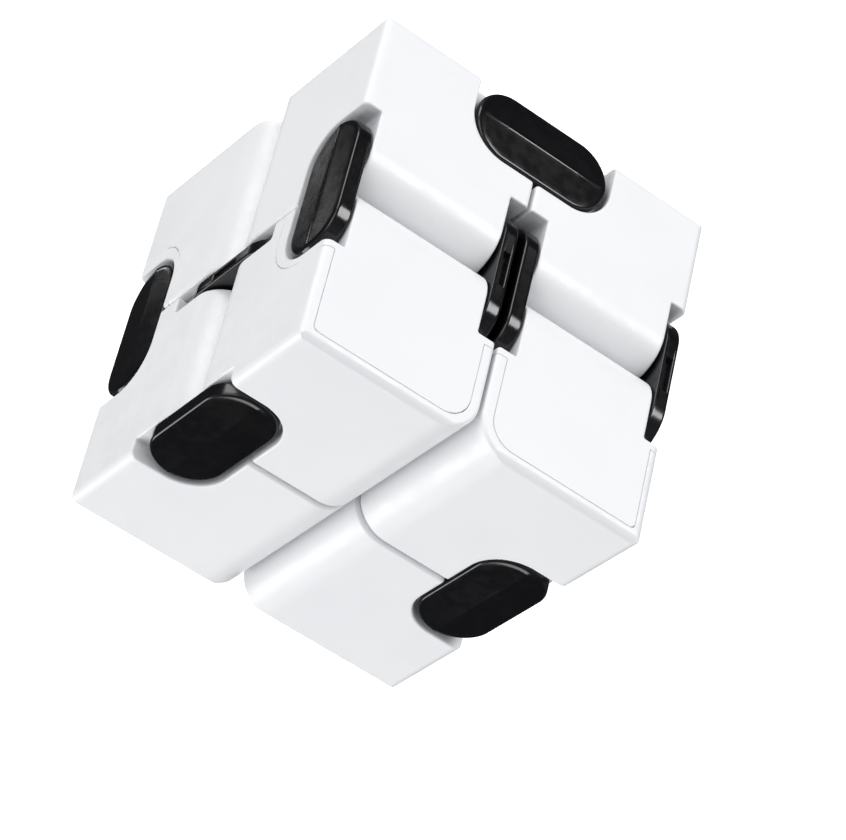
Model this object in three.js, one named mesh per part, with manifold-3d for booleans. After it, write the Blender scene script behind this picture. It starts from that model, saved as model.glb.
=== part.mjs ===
// Folding infinity cube: eight hollow cubies joined in a closed loop by eight double-pivot link hinges,
// shown closed. Units are millimetres. +Z is up, -Y is the front and +X is the right, and the origin is
// at the centre of the base.
//
// Each cubie is built in octant coordinates, in which it reaches from near the middle of the cube
// (LOW) to its outside (HIGH) along x, y and z, and is then mirrored to its own octant. Every hinge runs
// along one axis. Seen along that axis, u is the next axis in the cycle x, y, z and runs away from the
// plane where the two hinged cubies meet, and v is the one after and runs out to the face of the cube.

import * as THREE from "three";
import { mergeVertices } from "three/addons/utils/BufferGeometryUtils.js";
import Module from "manifold-3d";

const wasm = await Module();
wasm.setup();

// ---- Driving dimensions --------------------------------------------------------------------------

const CLOSED_SIZE = 40; // outside of the closed cube
const CUBIE_GAP = 0.4; // space between neighbouring cubies
const ROLL_RADIUS = 3.9; // hinge-side edge of a cubie, round about its pivot
const OUTER_ROUND = 1.0; // edges between two outside faces
const INNER_ROUND = 0.5; // edges that meet a parting plane
const WALL = 1.6; // cubie wall

const PLATE_THICKNESS = 1.6;
const PLATE_DROP = 0.25; // plate face below the cubie face
const RECESS_FLOOR_GAP = 0.25; // under the plate
const RECESS_SIDE_GAP = 0.45; // around the plate's round end
const NOTCH_LENGTH = 4.0; // small pocket in the side of one plate of each hinge
const NOTCH_WIDTH = 0.8;
const NOTCH_DEPTH = 0.7;

const PIN_RADIUS = 1.0;
const PIN_SEAT_DEPTH = 1.0; // how far a pin enters each plate
const PIN_SEAT_CLEARANCE = 0.05;
const PIN_RUN_CLEARANCE = 0.2; // radial, between a pin and its bearing
const BEARING_WALL = 1.1;

const SEAM = 0.2; // space between a cover and its shell
const COVER_INSET = 1.2; // from the cubie's side faces to the edge of a cover
const COVER_SEAT = 0.1; // how far a cover's edge lies on the ledge of the wall below it
const COVER_CORNER = 0.6;
const COVER_ROLL_CORNER = 2.8; // the cover corner beside a rolling edge
const TAB_BAND = 0.85; // cover material beside a plate recess, along the cover
const TAB_BAND_DEEP = 1.45; // the same, away from the cover
const LID_THICKNESS = 1.3;
const LID_LEDGE = 1.0; // width of the ledge under a lid
const LID_PLUG = 0.9; // how far the lid's plug reaches below its plate

const STEPS_PER_RADIUS = 1.3; // straight pieces in a quarter turn, for each millimetre of radius
const ROUND_SIDES = 12; // sides of a pin or a bore

const WHITE_SHELL = { color: 0xf1f1f3, roughness: 0.42, metalness: 0.0 };
const WHITE_COVER = { color: 0xf4f4f5, roughness: 0.4, metalness: 0.0 };
const BLACK_PLATE = { color: 0x141416, roughness: 0.35, metalness: 0.0 };
const STEEL_PIN = { color: 0xb9bcc0, roughness: 0.3, metalness: 1.0 };

// ---- Values that follow ---------------------------------------------------------------------------

const LOW = CUBIE_GAP / 2; // a cubie's face on the parting plane
const HIGH = CLOSED_SIZE / 2; // its outside face
const CENTRE = (LOW + HIGH) / 2;
const PIVOT_U = LOW + ROLL_RADIUS;
const PIVOT_V = HIGH - ROLL_RADIUS;
const RECESS_RADIUS = ROLL_RADIUS + RECESS_SIDE_GAP;
const RECESS_DEPTH = PLATE_DROP + PLATE_THICKNESS + RECESS_FLOOR_GAP;
const PAD_DEPTH = RECESS_DEPTH + WALL;
const BORE_RADIUS = PIN_RADIUS + PIN_RUN_CLEARANCE;
const BEARING_RADIUS = BORE_RADIUS + BEARING_WALL;
const OUTSIDE = CLOSED_SIZE; // far enough out to cut right through a cubie

const X = 0;
const Y = 1;
const Z = 2;

// ---- Solids ---------------------------------------------------------------------------------------

/** Turns a closed three.js geometry into a solid that can be cut and joined. */
function toSolid(geometry) {
  const bare = geometry.clone();
  bare.deleteAttribute("normal");
  bare.deleteAttribute("uv");
  const merged = mergeVertices(bare, 1e-5);
  const mesh = new wasm.Mesh({
    numProp: 3,
    vertProperties: new Float32Array(merged.attributes.position.array),
    triVerts: new Uint32Array(merged.index.array),
  });
  return new wasm.Manifold(mesh);
}

/** Turns a solid back into a geometry with flat faces. */
function toGeometry(solid) {
  const mesh = solid.getMesh();
  const geometry = new THREE.BufferGeometry();
  const corners = Float32Array.from(mesh.vertProperties);
  geometry.setAttribute("position", new THREE.BufferAttribute(corners, 3));
  geometry.setIndex(Array.from(mesh.triVerts));
  const flat = geometry.toNonIndexed();
  flat.computeVertexNormals();
  return flat;
}

/** Turns coordinates (u, v, along) about an axis into (x, y, z). */
function hingeBasis(axis) {
  const columns = [0, 1, 2].map((offset) => {
    const unit = new THREE.Vector3();
    unit.setComponent((axis + 1 + offset) % 3, 1);
    return unit;
  });
  return new THREE.Matrix4().makeBasis(...columns);
}

/** How many straight pieces make a quarter turn of this radius. */
function arcSteps(radius) {
  return Math.max(1, Math.round(radius * STEPS_PER_RADIUS));
}

/** A prism over a (u, v) outline, from one place to another along an axis. */
function prism(outline, axis, from, to) {
  const geometry = new THREE.ExtrudeGeometry(outline, {
    depth: to - from,
    bevelEnabled: false,
    curveSegments: 2 * arcSteps(ROLL_RADIUS),
  });
  geometry.translate(0, 0, from);
  geometry.applyMatrix4(hingeBasis(axis));
  return toSolid(geometry);
}

/** A round bar along an axis, centred on (u, v). */
function bar(radius, axis, u, v, from, to) {
  const geometry = new THREE.CylinderGeometry(radius, radius, to - from, ROUND_SIDES);
  geometry.rotateX(Math.PI / 2);
  geometry.translate(u, v, (from + to) / 2);
  geometry.applyMatrix4(hingeBasis(axis));
  return toSolid(geometry);
}

/** A rectangle whose four corners have their own radii, from the low-low corner anticlockwise. */
function roundedRectangle(u0, v0, u1, v1, radii) {
  const outline = new THREE.Shape();
  const corners = [
    [u0, v0, 1, 1],
    [u1, v0, -1, 1],
    [u1, v1, -1, -1],
    [u0, v1, 1, -1],
  ];
  corners.forEach(([u, v, inU, inV], index) => {
    const radius = radii[index];
    if (radius <= 0) {
      if (index === 0) outline.moveTo(u, v);
      else outline.lineTo(u, v);
      return;
    }
    const start = Math.PI + (index * Math.PI) / 2;
    const steps = arcSteps(radius);
    for (let step = 0; step <= steps; step += 1) {
      const angle = start + (step / steps) * (Math.PI / 2);
      const pointU = u + inU * radius + radius * Math.cos(angle);
      const pointV = v + inV * radius + radius * Math.sin(angle);
      if (index === 0 && step === 0) outline.moveTo(pointU, pointV);
      else outline.lineTo(pointU, pointV);
    }
  });
  outline.closePath();
  return outline;
}

// ---- Cubies ---------------------------------------------------------------------------------------

/**
 * The outer form of a cubie, or its cavity when inset by the wall: three prisms crossed. Seen along each
 * axis, the corner that is low in u and high in v is the rolling edge.
 */
function cubieBlock(inset) {
  const low = LOW + inset;
  const high = HIGH - inset;
  const round = (radius) => Math.max(radius - inset, 0);
  const radii = [round(INNER_ROUND), round(INNER_ROUND), round(OUTER_ROUND), round(ROLL_RADIUS)];
  const outline = roundedRectangle(low, low, high, high, radii);
  return [X, Y, Z]
    .map((axis) => prism(outline, axis, low, high))
    .reduce((block, next) => block.intersect(next));
}

/**
 * The corner of a cubie about a pivot: a quarter round on the side away from both faces, and straight
 * sides out through the two faces. It reaches the given distances from the pivot along u and v.
 */
function cornerOutline(reachU, reachV) {
  const outline = new THREE.Shape();
  outline.moveTo(-OUTSIDE, PIVOT_V - reachV);
  const steps = arcSteps(reachU);
  for (let step = 0; step <= steps; step += 1) {
    const angle = (step / steps) * (Math.PI / 2);
    outline.lineTo(PIVOT_U + reachU * Math.sin(angle), PIVOT_V - reachV * Math.cos(angle));
  }
  outline.lineTo(PIVOT_U + reachU, OUTSIDE);
  outline.lineTo(-OUTSIDE, OUTSIDE);
  outline.closePath();
  return outline;
}

/** The two ends of a cubie along an axis, to the given depth from each end face. */
function bothEnds(outline, axis, depth) {
  const inner = prism(outline, axis, LOW - 1, LOW + depth);
  const outer = prism(outline, axis, HIGH - depth, HIGH + 1);
  return inner.add(outer);
}

/** What a hinge adds inside a cubie: the pads behind its two recesses and the bearing around its pin. */
function hingeBearing(axis, bandU, bandV) {
  const padOutline = cornerOutline(RECESS_RADIUS + bandU, RECESS_RADIUS + bandV);
  const bearing = prism(cornerOutline(BEARING_RADIUS, BEARING_RADIUS), axis, LOW, HIGH);
  return bothEnds(padOutline, axis, PAD_DEPTH).add(bearing);
}

/** What a hinge cuts from a cubie: its two recesses and the bore for its pin. */
function hingeCut(axis) {
  const recesses = bothEnds(cornerOutline(RECESS_RADIUS, RECESS_RADIUS), axis, RECESS_DEPTH);
  return recesses.add(bar(BORE_RADIUS, axis, PIVOT_U, PIVOT_V, LOW - 1, HIGH + 1));
}

/** The material beside a recess that belongs to a clamp cover, along u and along v. */
function tabBands(closing) {
  return closing.outside ? [TAB_BAND, TAB_BAND_DEEP] : [TAB_BAND_DEEP, TAB_BAND];
}

/**
 * The region of a clamp cover: an inset plate on one face with the whole hinge end of the cubie. It lies
 * on the outside face that the hinge rolls on, or on the parting plane.
 */
function clampRegion(closing, grow) {
  const { axis, outside } = closing;
  const [bandU, bandV] = tabBands(closing);
  const block = cornerOutline(RECESS_RADIUS + bandU + grow, RECESS_RADIUS + bandV + grow);
  const hingeEnd = prism(block, axis, LOW - 1, HIGH + 1);

  const low = LOW + COVER_INSET - grow;
  const high = HIGH - COVER_INSET + grow;
  const depth = WALL + COVER_SEAT + grow;
  if (outside) {
    const radii = [0, 0, COVER_CORNER, COVER_ROLL_CORNER];
    const face = roundedRectangle(low, PIVOT_U, high, high, radii);
    return hingeEnd.add(prism(face, (axis + 2) % 3, HIGH - depth, HIGH + 1));
  }
  const radii = [COVER_CORNER, 0, 0, COVER_ROLL_CORNER];
  const face = roundedRectangle(low, low, PIVOT_V, high, radii);
  return hingeEnd.add(prism(face, (axis + 1) % 3, LOW - 1, LOW + depth));
}

/** The region of a lid on the parting plane of a hinge: a plate, and the narrower plug under it. */
function lidRegion(closing, grow) {
  const low = LOW + COVER_INSET - grow;
  const high = HIGH - COVER_INSET + grow;
  const top = PIVOT_V - RECESS_RADIUS - WALL - SEAM + grow;
  const radii = [COVER_CORNER, COVER_CORNER, COVER_CORNER, COVER_ROLL_CORNER];
  const plate = roundedRectangle(low, low, top, high, radii);
  const inside = (value) => value + LID_LEDGE;
  const plug = roundedRectangle(inside(low), inside(low), top - LID_LEDGE, high - LID_LEDGE, radii);
  const face = (closing.axis + 1) % 3;
  const depth = LID_THICKNESS + grow;
  const outer = prism(plate, face, LOW - 1, LOW + depth);
  return outer.add(prism(plug, face, LOW - 1, LOW + depth + LID_PLUG));
}

/** The thicker wall behind a lid, which holds its ledge. */
function lidWall(closing) {
  const whole = roundedRectangle(0, 0, OUTSIDE, OUTSIDE, [0, 0, 0, 0]);
  return prism(whole, (closing.axis + 1) % 3, LOW, LOW + LID_THICKNESS + LID_PLUG);
}

/**
 * One cubie as its shell and the piece that closes it. hinges holds the axes of its two hinges. closing
 * is a clamp, on the outside or on the parting plane of one hinge, or a lid on the parting plane.
 */
function cubie(hinges, closing) {
  const isLid = closing.kind === "lid";
  let cavity = cubieBlock(WALL);
  for (const axis of hinges) {
    const clamped = !isLid && axis === closing.axis;
    const [bandU, bandV] = clamped ? tabBands(closing) : [WALL, WALL];
    cavity = cavity.subtract(hingeBearing(axis, bandU, bandV));
  }
  if (isLid) cavity = cavity.subtract(lidWall(closing));
  let body = cubieBlock(0).subtract(cavity);
  for (const axis of hinges) body = body.subtract(hingeCut(axis));
  const region = isLid ? lidRegion : clampRegion;
  return { shell: body.subtract(region(closing, SEAM)), closing: body.intersect(region(closing, 0)) };
}

// ---- Link plates and pins -------------------------------------------------------------------------

/**
 * A round-ended plate that bridges the parting plane, along z. Its outside face is at height z = face,
 * and it lies on the side of that face that inwards points to.
 */
function plateSolid(face, inwards, notched) {
  const outline = new THREE.Shape();
  outline.absarc(PIVOT_U, PIVOT_V, ROLL_RADIUS, -Math.PI / 2, Math.PI / 2, false);
  outline.absarc(-PIVOT_U, PIVOT_V, ROLL_RADIUS, Math.PI / 2, (3 * Math.PI) / 2, false);
  outline.closePath();
  const back = face + inwards * PLATE_THICKNESS;
  let plate = prism(outline, Z, Math.min(face, back), Math.max(face, back));
  for (const side of [-1, 1]) {
    const seatRadius = PIN_RADIUS + PIN_SEAT_CLEARANCE;
    const seat = back - inwards * PIN_SEAT_DEPTH;
    const open = back + inwards;
    const [from, to] = [Math.min(seat, open), Math.max(seat, open)];
    plate = plate.subtract(bar(seatRadius, Z, side * PIVOT_U, PIVOT_V, from, to));
  }
  if (notched) {
    const notch = new THREE.BoxGeometry(NOTCH_LENGTH, 2 * NOTCH_DEPTH, NOTCH_WIDTH);
    notch.translate(0, PIVOT_V + ROLL_RADIUS, (face + back) / 2);
    plate = plate.subtract(toSolid(notch));
  }
  return plate;
}

/** A hinge pin between the seats of its two plates, on one side of the parting plane. */
function pinSolid(side) {
  const reach = PLATE_DROP + PLATE_THICKNESS - PIN_SEAT_DEPTH + PIN_SEAT_CLEARANCE;
  return bar(PIN_RADIUS, Z, side * PIVOT_U, PIVOT_V, LOW + reach, HIGH - reach);
}

// ---- Assembly -------------------------------------------------------------------------------------

/** A named mesh of a solid built in octant coordinates, mirrored to an octant and placed by position. */
function placedMesh(name, solid, octant, origin, finish) {
  const geometry = toGeometry(solid);
  geometry.translate(-origin.x, -origin.y, -origin.z);
  geometry.scale(octant.x, octant.y, octant.z);
  if (octant.x * octant.y * octant.z < 0) {
    const points = geometry.attributes.position;
    for (let corner = 0; corner < points.count; corner += 3) {
      const kept = new THREE.Vector3().fromBufferAttribute(points, corner + 1);
      const swapped = new THREE.Vector3().fromBufferAttribute(points, corner + 2);
      points.setXYZ(corner + 1, swapped.x, swapped.y, swapped.z);
      points.setXYZ(corner + 2, kept.x, kept.y, kept.z);
    }
  }
  geometry.computeVertexNormals();
  const mesh = new THREE.Mesh(geometry, new THREE.MeshStandardMaterial(finish));
  mesh.name = name;
  mesh.position.copy(origin).multiply(octant);
  return mesh;
}

const FRONT_HINGES = [X, Y];
const BACK_HINGES = [X, Z];
const LID = { kind: "lid" };
const CLAMP = { kind: "clamp", axis: X };

// The four kinds of cubie. A kind and its mirror images in X and Z share one form.
const KINDS = {
  frontClamp: cubie(FRONT_HINGES, { ...CLAMP, outside: true }),
  backClamp: cubie(BACK_HINGES, { ...CLAMP, outside: false }),
  frontLid: cubie(FRONT_HINGES, { ...LID, axis: Y }),
  backLid: cubie(BACK_HINGES, { ...LID, axis: X }),
};

const CUBIES = [
  { place: "front_left_top", octant: [-1, -1, 1], kind: "frontClamp" },
  { place: "front_right_top", octant: [1, -1, 1], kind: "frontClamp" },
  { place: "front_left_bottom", octant: [-1, -1, -1], kind: "frontLid" },
  { place: "front_right_bottom", octant: [1, -1, -1], kind: "frontLid" },
  { place: "back_left_top", octant: [-1, 1, 1], kind: "backLid" },
  { place: "back_right_top", octant: [1, 1, 1], kind: "backLid" },
  { place: "back_left_bottom", octant: [-1, 1, -1], kind: "backClamp" },
  { place: "back_right_bottom", octant: [1, 1, -1], kind: "backClamp" },
];

// The octant of a hinge is the half of the cube that it lies in along its axis and along v. Its two
// cubies lie on either side of the parting plane along u, whose sign has no effect.
const HINGES = [
  { place: "top_left", axis: X, octant: [-1, 1, 1] },
  { place: "top_right", axis: X, octant: [1, 1, 1] },
  { place: "bottom_left", axis: X, octant: [-1, 1, -1] },
  { place: "bottom_right", axis: X, octant: [1, 1, -1] },
  { place: "left_front", axis: Y, octant: [-1, -1, 1] },
  { place: "right_front", axis: Y, octant: [1, -1, 1] },
  { place: "back_top", axis: Z, octant: [1, 1, 1] },
  { place: "back_bottom", axis: Z, octant: [1, 1, -1] },
];

const cube = new THREE.Group();
cube.name = "infinity_cube";
const closed = new THREE.Group();
closed.position.z = CLOSED_SIZE / 2;
cube.add(closed);

for (const { place, octant, kind } of CUBIES) {
  const signs = new THREE.Vector3(...octant);
  const origin = new THREE.Vector3(CENTRE, CENTRE, CENTRE);
  const pieces = KINDS[kind];
  const closingName = kind.endsWith("Lid") ? "lid" : "cover";
  closed.add(placedMesh(`${place}_shell`, pieces.shell, signs, origin, WHITE_SHELL));
  closed.add(placedMesh(`${place}_${closingName}`, pieces.closing, signs, origin, WHITE_COVER));
}

for (const { place, axis, octant } of HINGES) {
  const signs = new THREE.Vector3(...octant);
  const basis = hingeBasis(axis);
  const origin = new THREE.Vector3(0, PIVOT_V, CENTRE).applyMatrix4(basis);
  const onPlusSide = signs.getComponent(axis) > 0;
  const outerPlate = plateSolid(HIGH - PLATE_DROP, -1, onPlusSide).transform(basis.elements);
  const innerPlate = plateSolid(LOW + PLATE_DROP, 1, !onPlusSide).transform(basis.elements);
  const name = `${place}_hinge`;
  closed.add(placedMesh(`${name}_outer_plate`, outerPlate, signs, origin, BLACK_PLATE));
  closed.add(placedMesh(`${name}_inner_plate`, innerPlate, signs, origin, BLACK_PLATE));
  for (const side of [-1, 1]) {
    const pin = pinSolid(side).transform(basis.elements);
    const across = (axis + 1) % 3;
    const isPlus = side * signs.getComponent(across) > 0;
    const word = [["left", "right"], ["front", "back"], ["lower", "upper"]][across][isPlus ? 1 : 0];
    closed.add(placedMesh(`${name}_${word}_pin`, pin, signs, origin, STEEL_PIN));
  }
}

export default cube;
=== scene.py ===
"""Looks of the folding infinity cube: cubies, closing pieces, link plates, finishes, light and camera.

Lengths inside the shape classes are in millimetres, and every finished mesh is in metres. Each cubie is
worked out in octant coordinates, in which it reaches from near the middle of the cube (low) to its
outside (high) along x, y and z, and is mirrored to its own octant. Seen along a hinge's axis, u is the
next axis in the cycle x, y, z and runs away from the parting plane, and v, the one after, runs outwards.
"""

import logging
import math
from collections.abc import Callable
from dataclasses import dataclass, field
from enum import Enum

import bmesh
import bpy
import numpy as np
from mathutils import Matrix, Vector


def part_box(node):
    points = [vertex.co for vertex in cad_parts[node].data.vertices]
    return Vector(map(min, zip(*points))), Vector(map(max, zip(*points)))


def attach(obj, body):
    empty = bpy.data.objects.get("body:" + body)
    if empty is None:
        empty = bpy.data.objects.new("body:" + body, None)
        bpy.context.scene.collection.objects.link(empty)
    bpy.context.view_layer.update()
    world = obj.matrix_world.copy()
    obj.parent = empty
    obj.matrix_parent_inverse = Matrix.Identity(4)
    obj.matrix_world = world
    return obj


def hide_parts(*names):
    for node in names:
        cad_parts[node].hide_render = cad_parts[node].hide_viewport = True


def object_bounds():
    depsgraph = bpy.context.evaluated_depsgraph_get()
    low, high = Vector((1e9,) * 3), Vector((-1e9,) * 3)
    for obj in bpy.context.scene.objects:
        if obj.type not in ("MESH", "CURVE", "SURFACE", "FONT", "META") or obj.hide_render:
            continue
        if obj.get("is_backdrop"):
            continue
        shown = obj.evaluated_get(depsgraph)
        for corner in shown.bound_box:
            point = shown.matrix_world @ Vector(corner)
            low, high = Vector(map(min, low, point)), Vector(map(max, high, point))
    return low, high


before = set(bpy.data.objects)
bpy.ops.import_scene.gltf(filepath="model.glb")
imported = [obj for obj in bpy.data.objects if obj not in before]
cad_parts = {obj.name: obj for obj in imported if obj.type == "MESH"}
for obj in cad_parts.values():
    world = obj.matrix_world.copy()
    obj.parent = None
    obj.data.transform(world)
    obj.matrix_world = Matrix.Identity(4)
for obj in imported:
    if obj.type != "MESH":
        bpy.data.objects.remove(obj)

LOG = logging.getLogger("infinity_cube")
MM = 0.001
TINY = 1e-9
Field = Callable[[np.ndarray, np.ndarray, np.ndarray], np.ndarray]
Band = tuple[float, float]
Colour = tuple[float, float, float]
Place = tuple[float, float, float]


class Axis(Enum):
    """An axis of the shared frame, by its place in a coordinate triple."""

    X = 0
    Y = 1
    Z = 2

    def uv(self) -> tuple[int, int]:
        """Returns the places of u and v for a hinge along this axis."""
        return (self.value + 1) % 3, (self.value + 2) % 3


class Closing(Enum):
    """How a cubie is closed."""

    OUTER_CLAMP = "cover"
    INNER_CLAMP = "cover of the inner face"
    LID = "lid"

    @property
    def word(self) -> str:
        """Returns the last word of the closing piece's name."""
        return "lid" if self is Closing.LID else "cover"


# ---- Sizes --------------------------------------------------------------------------------------


@dataclass(frozen=True)
class CubeSizes:
    """Sizes in millimetres. Those without a value here are measured on the frame by measure_cube."""

    low: float
    high: float
    centre_z: float
    roll_radius: float
    pivot_u: float
    pivot_v: float
    plate_drop: float
    plate_thickness: float
    tab_deep: float
    recess_side_gap: float = 0.45
    recess_floor_gap: float = 0.25
    outer_round: float = 0.95
    small_round: float = 0.4
    recess_rim_round: float = 0.22
    recess_foot_round: float = 0.2
    bore_radius: float = 1.2
    cover_inset: float = 1.2
    cover_depth: float = 1.7
    cover_corner: float = 0.6
    cover_roll_corner: float = 2.8
    tab_band: float = 0.85
    seam: float = 0.04
    seam_round: float = 0.05
    lid_depth: float = 1.3
    lid_band: float = 1.8

    @property
    def recess_radius(self) -> float:
        """Returns the radius of a recess about its pivot."""
        return self.roll_radius + self.recess_side_gap

    @property
    def recess_depth(self) -> float:
        """Returns the depth of a recess below the cubie's face."""
        return self.plate_drop + self.plate_thickness + self.recess_floor_gap


def measure_cube() -> CubeSizes:
    """Reads the driving sizes off the frame's own nodes.

    Returns:
        The sizes, in millimetres.
    """
    shell_low, shell_high = (np.array(c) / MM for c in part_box("back_right_top_shell"))
    plate_low, plate_high = (np.array(c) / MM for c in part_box("top_right_hinge_outer_plate"))
    tab_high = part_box("back_left_bottom_cover")[1][1] / MM
    low, high = float(shell_low[0]), float(shell_high[0])
    radius = float(plate_high[2] - plate_low[2]) / 2
    pivot_u = float(plate_high[1]) - radius
    recess = radius + CubeSizes.recess_side_gap
    return CubeSizes(
        low=low,
        high=high,
        centre_z=float(shell_high[2]) - high,
        roll_radius=radius,
        pivot_u=pivot_u,
        pivot_v=high - radius,
        plate_drop=high - float(plate_high[0]),
        plate_thickness=float(plate_high[0] - plate_low[0]),
        tab_deep=tab_high - pivot_u - recess,
    )


# ---- Distance fields ----------------------------------------------------------------------------


def round_both(first: np.ndarray, second: np.ndarray, radius: float) -> np.ndarray:
    """The common part of two solids, with its new edge rounded.

    Where both distances are above minus the radius, the distance is that of a quarter circle.

    Args:
        first: signed distance to the first solid, negative inside.
        second: signed distance to the second solid.
        radius: radius of the edge where they meet.

    Returns:
        The signed distance to the common part.
    """
    over = np.hypot(np.maximum(first + radius, 0.0), np.maximum(second + radius, 0.0))
    return np.minimum(-radius, np.maximum(first, second)) + over


def round_either(first: np.ndarray, second: np.ndarray, radius: float) -> np.ndarray:
    """The union of two solids, with a fillet in its new inside corner.

    Args:
        first: signed distance to the first solid.
        second: signed distance to the second solid.
        radius: radius of the fillet.

    Returns:
        The signed distance to the union.
    """
    return -round_both(-first, -second, radius)


def rectangle_distance(
    p: np.ndarray, q: np.ndarray, low: tuple[float, float], high: tuple[float, float],
    radii: tuple[float, float, float, float],
) -> np.ndarray:
    """The flat signed distance to a rectangle whose corners have their own radii.

    From the middle, each quarter is a box shrunk by its radius and grown again.

    Args:
        p: first coordinate.
        q: second coordinate.
        low: lowest corner.
        high: highest corner.
        radii: radii from the low-low corner anticlockwise.

    Returns:
        The signed distance, negative inside.
    """
    mid = ((low[0] + high[0]) / 2, (low[1] + high[1]) / 2)
    half = ((high[0] - low[0]) / 2, (high[1] - low[1]) / 2)
    right, upper = p > mid[0], q > mid[1]
    radius = np.where(right, np.where(upper, radii[2], radii[1]), np.where(upper, radii[3], radii[0]))
    over_p = np.abs(p - mid[0]) - half[0] + radius
    over_q = np.abs(q - mid[1]) - half[1] + radius
    outside = np.hypot(np.maximum(over_p, 0.0), np.maximum(over_q, 0.0))
    return outside + np.minimum(np.maximum(over_p, over_q), 0.0) - radius


# The grid, in millimetres: how deep below each face it stays fine, how far it passes the faces, its
# finest and coarsest steps and the one along curves, and how steps grow away from and shrink towards
# an edge, as shares of the distance to it.
ROUND_DEPTHS = (0.1, 0.5)
GRID_MARGIN = 0.35
FINEST_STEP = 0.09
COARSEST_STEP = 1.1
CURVE_STEP = 0.33
STEP_GROWTH = 0.55
APPROACH_SHARE = 0.6


@dataclass(frozen=True)
class CubieForm:
    """The solid form of one kind of cubie, as distance fields in octant coordinates.

    Attributes:
        sizes: the cube's sizes.
        hinges: the axes of its two hinges.
        closing: how it is closed.
        face_axis: the hinge axis that its closing piece belongs to.
    """

    sizes: CubeSizes
    hinges: tuple[Axis, Axis]
    closing: Closing
    face_axis: Axis

    def block(self, *point: np.ndarray) -> np.ndarray:
        """The plain cubie: a box with three large rolling edges and small rounds everywhere else.

        Along each axis it is a prism over a rounded rectangle, closed by two flat ends. The three are
        crossed a small radius inside the surface and grown by it, which rounds every edge and corner.

        Args:
            *point: the x, y and z coordinates.

        Returns:
            The signed distance.
        """
        s = self.sizes
        small = s.small_round
        low, high = s.low + small, s.high - small
        radii = (0.0, 0.0, s.outer_round - small, s.roll_radius - small)
        prisms = []
        for axis in Axis:
            u, v = axis.uv()
            side = rectangle_distance(point[u], point[v], (low, low), (high, high), radii)
            along = point[axis.value]
            end = np.abs(along - (low + high) / 2) - (high - low) / 2
            outside = np.hypot(np.maximum(side, 0.0), np.maximum(end, 0.0))
            prisms.append(outside + np.minimum(np.maximum(side, end), 0.0))
        return np.maximum(np.maximum(prisms[0], prisms[1]), prisms[2]) - small

    def corner(self, u: np.ndarray, v: np.ndarray, radius: float) -> np.ndarray:
        """The corner of the cubie about a pivot, open through its two faces.

        It is a quarter circle on the side away from both faces, and straight elsewhere.

        Args:
            u: distance from the parting plane.
            v: distance from the cube's middle.
            radius: how far it reaches from the pivot.

        Returns:
            The flat signed distance, negative inside the corner.
        """
        du, dv = u - self.sizes.pivot_u, self.sizes.pivot_v - v
        straight = np.maximum(du, dv)
        quarter = np.hypot(du, dv)
        return np.where((du > 0) & (dv > 0), quarter, straight) - radius

    def body(self, *point: np.ndarray) -> np.ndarray:
        """The cubie with its four plate recesses and two pin bores, before it is parted.

        Args:
            *point: the x, y and z coordinates.

        Returns:
            The signed distance.
        """
        s = self.sizes
        solid = self.block(*point)
        for axis in self.hinges:
            u, v = (point[place] for place in axis.uv())
            along = point[axis.value]
            beside = -self.corner(u, v, s.recess_radius)
            for end in (along - (s.high - s.recess_depth), (s.low + s.recess_depth) - along):
                kept = round_either(beside, end, s.recess_foot_round)
                solid = round_both(solid, kept, s.recess_rim_round)
            bore = s.bore_radius - np.hypot(u - s.pivot_u, v - s.pivot_v)
            solid = np.maximum(solid, bore)
        return solid

    def closing_region(self, grow: float, *point: np.ndarray) -> np.ndarray:
        """The space of the closing piece: an inset plate on one face, with the hinge end for a clamp.

        Args:
            grow: how far the space is grown on every side.
            *point: the x, y and z coordinates.

        Returns:
            The signed distance.
        """
        s = self.sizes
        u, v = (point[place] for place in self.face_axis.uv())
        along = point[self.face_axis.value]
        near, far = s.low + s.cover_inset - grow, s.high - s.cover_inset + grow
        radii = (s.cover_corner, s.cover_corner, s.cover_corner, s.cover_roll_corner)
        if self.closing is Closing.OUTER_CLAMP:
            flat = rectangle_distance(along, u, (near, -s.high), (far, far), radii)
            plate = np.maximum(flat, (s.high - s.cover_depth - grow) - v)
            bands = (s.tab_band, s.tab_deep)
        elif self.closing is Closing.INNER_CLAMP:
            flat = rectangle_distance(v, along, (near, near), (2 * s.high, far), radii)
            plate = np.maximum(flat, u - (s.low + s.cover_depth + grow))
            bands = (s.tab_deep, s.tab_band)
        else:
            top = s.pivot_v - s.recess_radius - s.lid_band + grow
            flat = rectangle_distance(v, along, (near, near), (top, far), radii)
            return np.maximum(flat, u - (s.low + s.lid_depth + grow))
        reach_u, reach_v = (s.recess_radius + band + grow for band in bands)
        return np.minimum(plate, self.oval_corner(u, v, reach_u, reach_v))

    def oval_corner(self, u: np.ndarray, v: np.ndarray, reach_u: float, reach_v: float) -> np.ndarray:
        """The corner of the cubie about a pivot with a different reach along u and v.

        Its quarter ellipse uses k (k - 1) / m, where k is the length of (u, v) over the reaches and m
        its length over their squares.

        Args:
            u: distance from the parting plane.
            v: distance from the cube's middle.
            reach_u: how far it reaches from the pivot along u.
            reach_v: how far it reaches from the pivot along v.

        Returns:
            The flat signed distance, negative inside the corner.
        """
        du, dv = u - self.sizes.pivot_u, self.sizes.pivot_v - v
        once = np.hypot(du / reach_u, dv / reach_v)
        twice = np.maximum(np.hypot(du / reach_u**2, dv / reach_v**2), TINY)
        straight = np.maximum(du - reach_u, dv - reach_v)
        return np.where((du > 0) & (dv > 0), once * (once - 1.0) / twice, straight)

    def shell(self, *point: np.ndarray) -> np.ndarray:
        """The part of the body outside the closing piece and its seam."""
        outside = -self.closing_region(self.sizes.seam, *point)
        return round_both(self.body(*point), outside, self.sizes.seam_round)

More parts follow.
